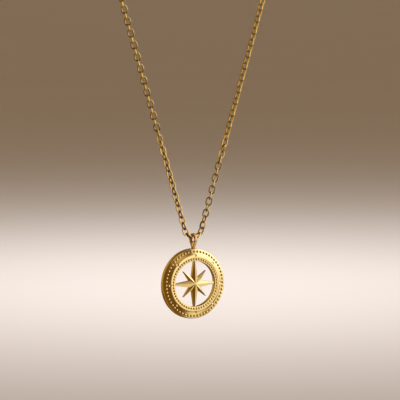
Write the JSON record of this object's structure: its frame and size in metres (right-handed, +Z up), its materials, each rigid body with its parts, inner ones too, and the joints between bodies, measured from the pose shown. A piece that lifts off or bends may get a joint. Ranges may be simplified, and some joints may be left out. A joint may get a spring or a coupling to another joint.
{
  "type": "eight-pointed star medallion pendant on a cable-chain necklace",
  "caption": "Round pierced medallion with an eight-pointed compass star inside a beaded rim, hanging by a strip bail on a fine oval-link cable chain with a spring-ring clasp.",
  "frame": {"origin": "where the closed loop hangs: the middle of its top, at the underside of the clasp", "axes": "+Z up, along the hanging necklace; the medallion faces -Y; X runs across the loop from side to side"},
  "size_m": [0.0886, 0.0062, 0.2009],
  "materials": {
    "medallion_gold": "polished yellow gold, darker in the recesses",
    "chain_gold": "polished yellow gold, flattened link faces",
    "clasp_gold": "polished yellow gold"
  },
  "bodies": {
    "necklace": {"chain": "chain_gold", "clasp": "clasp_gold", "clasp_ring": "clasp_gold", "end_ring": "clasp_gold"},
    "pendant": {"medallion": "medallion_gold"}
  },
  "joints": [
    {"name": "pendant_swing", "type": "hinge", "parent": "necklace", "child": "pendant", "pos_m": [0, 0, -0.1761], "axis": [1, 0, 0], "range_deg": [-90, 90]}
  ]
}
